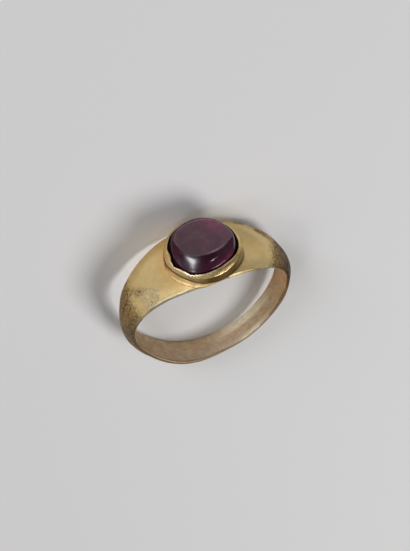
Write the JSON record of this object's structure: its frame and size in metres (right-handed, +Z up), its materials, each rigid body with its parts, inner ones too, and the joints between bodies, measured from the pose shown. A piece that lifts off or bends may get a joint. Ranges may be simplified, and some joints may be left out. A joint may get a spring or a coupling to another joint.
{
  "type": "bezel set ring",
  "caption": "Finger ring lying on its side: a thin hoop flares into a plate with a soldered collar that holds a low cushion-shaped cabochon.",
  "frame": {"origin": "on the floor under the middle of the ring's box, as it lies on its side", "axes": "+Z up, nearly along the finger; -Y towards the collar and stone; +X to the side of the rounder shoulder crease"},
  "size_m": [0.0198, 0.0208, 0.0083],
  "materials": {
    "gold": "worn satin gold with fine scratches, pits and brown tarnish",
    "gem": "polished dark red-purple stone with a soft surface gloss"
  },
  "bodies": {
    "root": {"band": "gold", "stone": "gem"}
  },
  "joints": []
}
